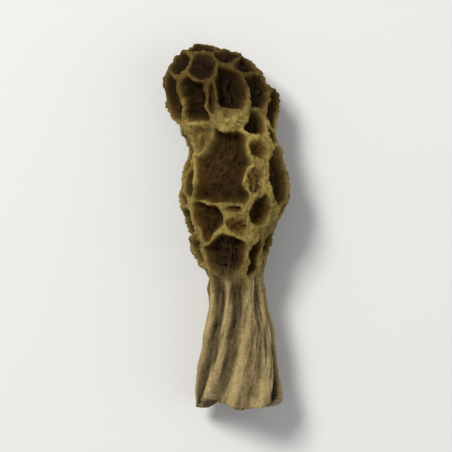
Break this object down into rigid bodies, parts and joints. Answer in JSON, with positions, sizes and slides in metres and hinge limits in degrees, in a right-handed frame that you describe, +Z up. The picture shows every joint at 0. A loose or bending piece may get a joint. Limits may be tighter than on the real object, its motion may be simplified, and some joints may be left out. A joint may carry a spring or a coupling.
{
  "type": "dried morel mushroom",
  "caption": "Dried morel mushroom lying on its side: a long honeycombed cap with deep pits between thin wrinkled ridges, grown as one piece with a ribbed, hollow stem open at its cut end.",
  "frame": {"origin": "centre of the bounding box in plan, on the surface the mushroom lies on", "axes": "+Y from the cut end of the stem to the tip of the cap, +Z up, +X to the right seen from above with the tip at the top"},
  "size_m": [0.014, 0.0402, 0.0099],
  "materials": {
    "dried_flesh": "dull, dry and wrinkled; tan-olive ridge crests over dark brown pits, golden-tan stem"
  },
  "bodies": {
    "root": {"morel": "dried_flesh"}
  },
  "joints": []
}
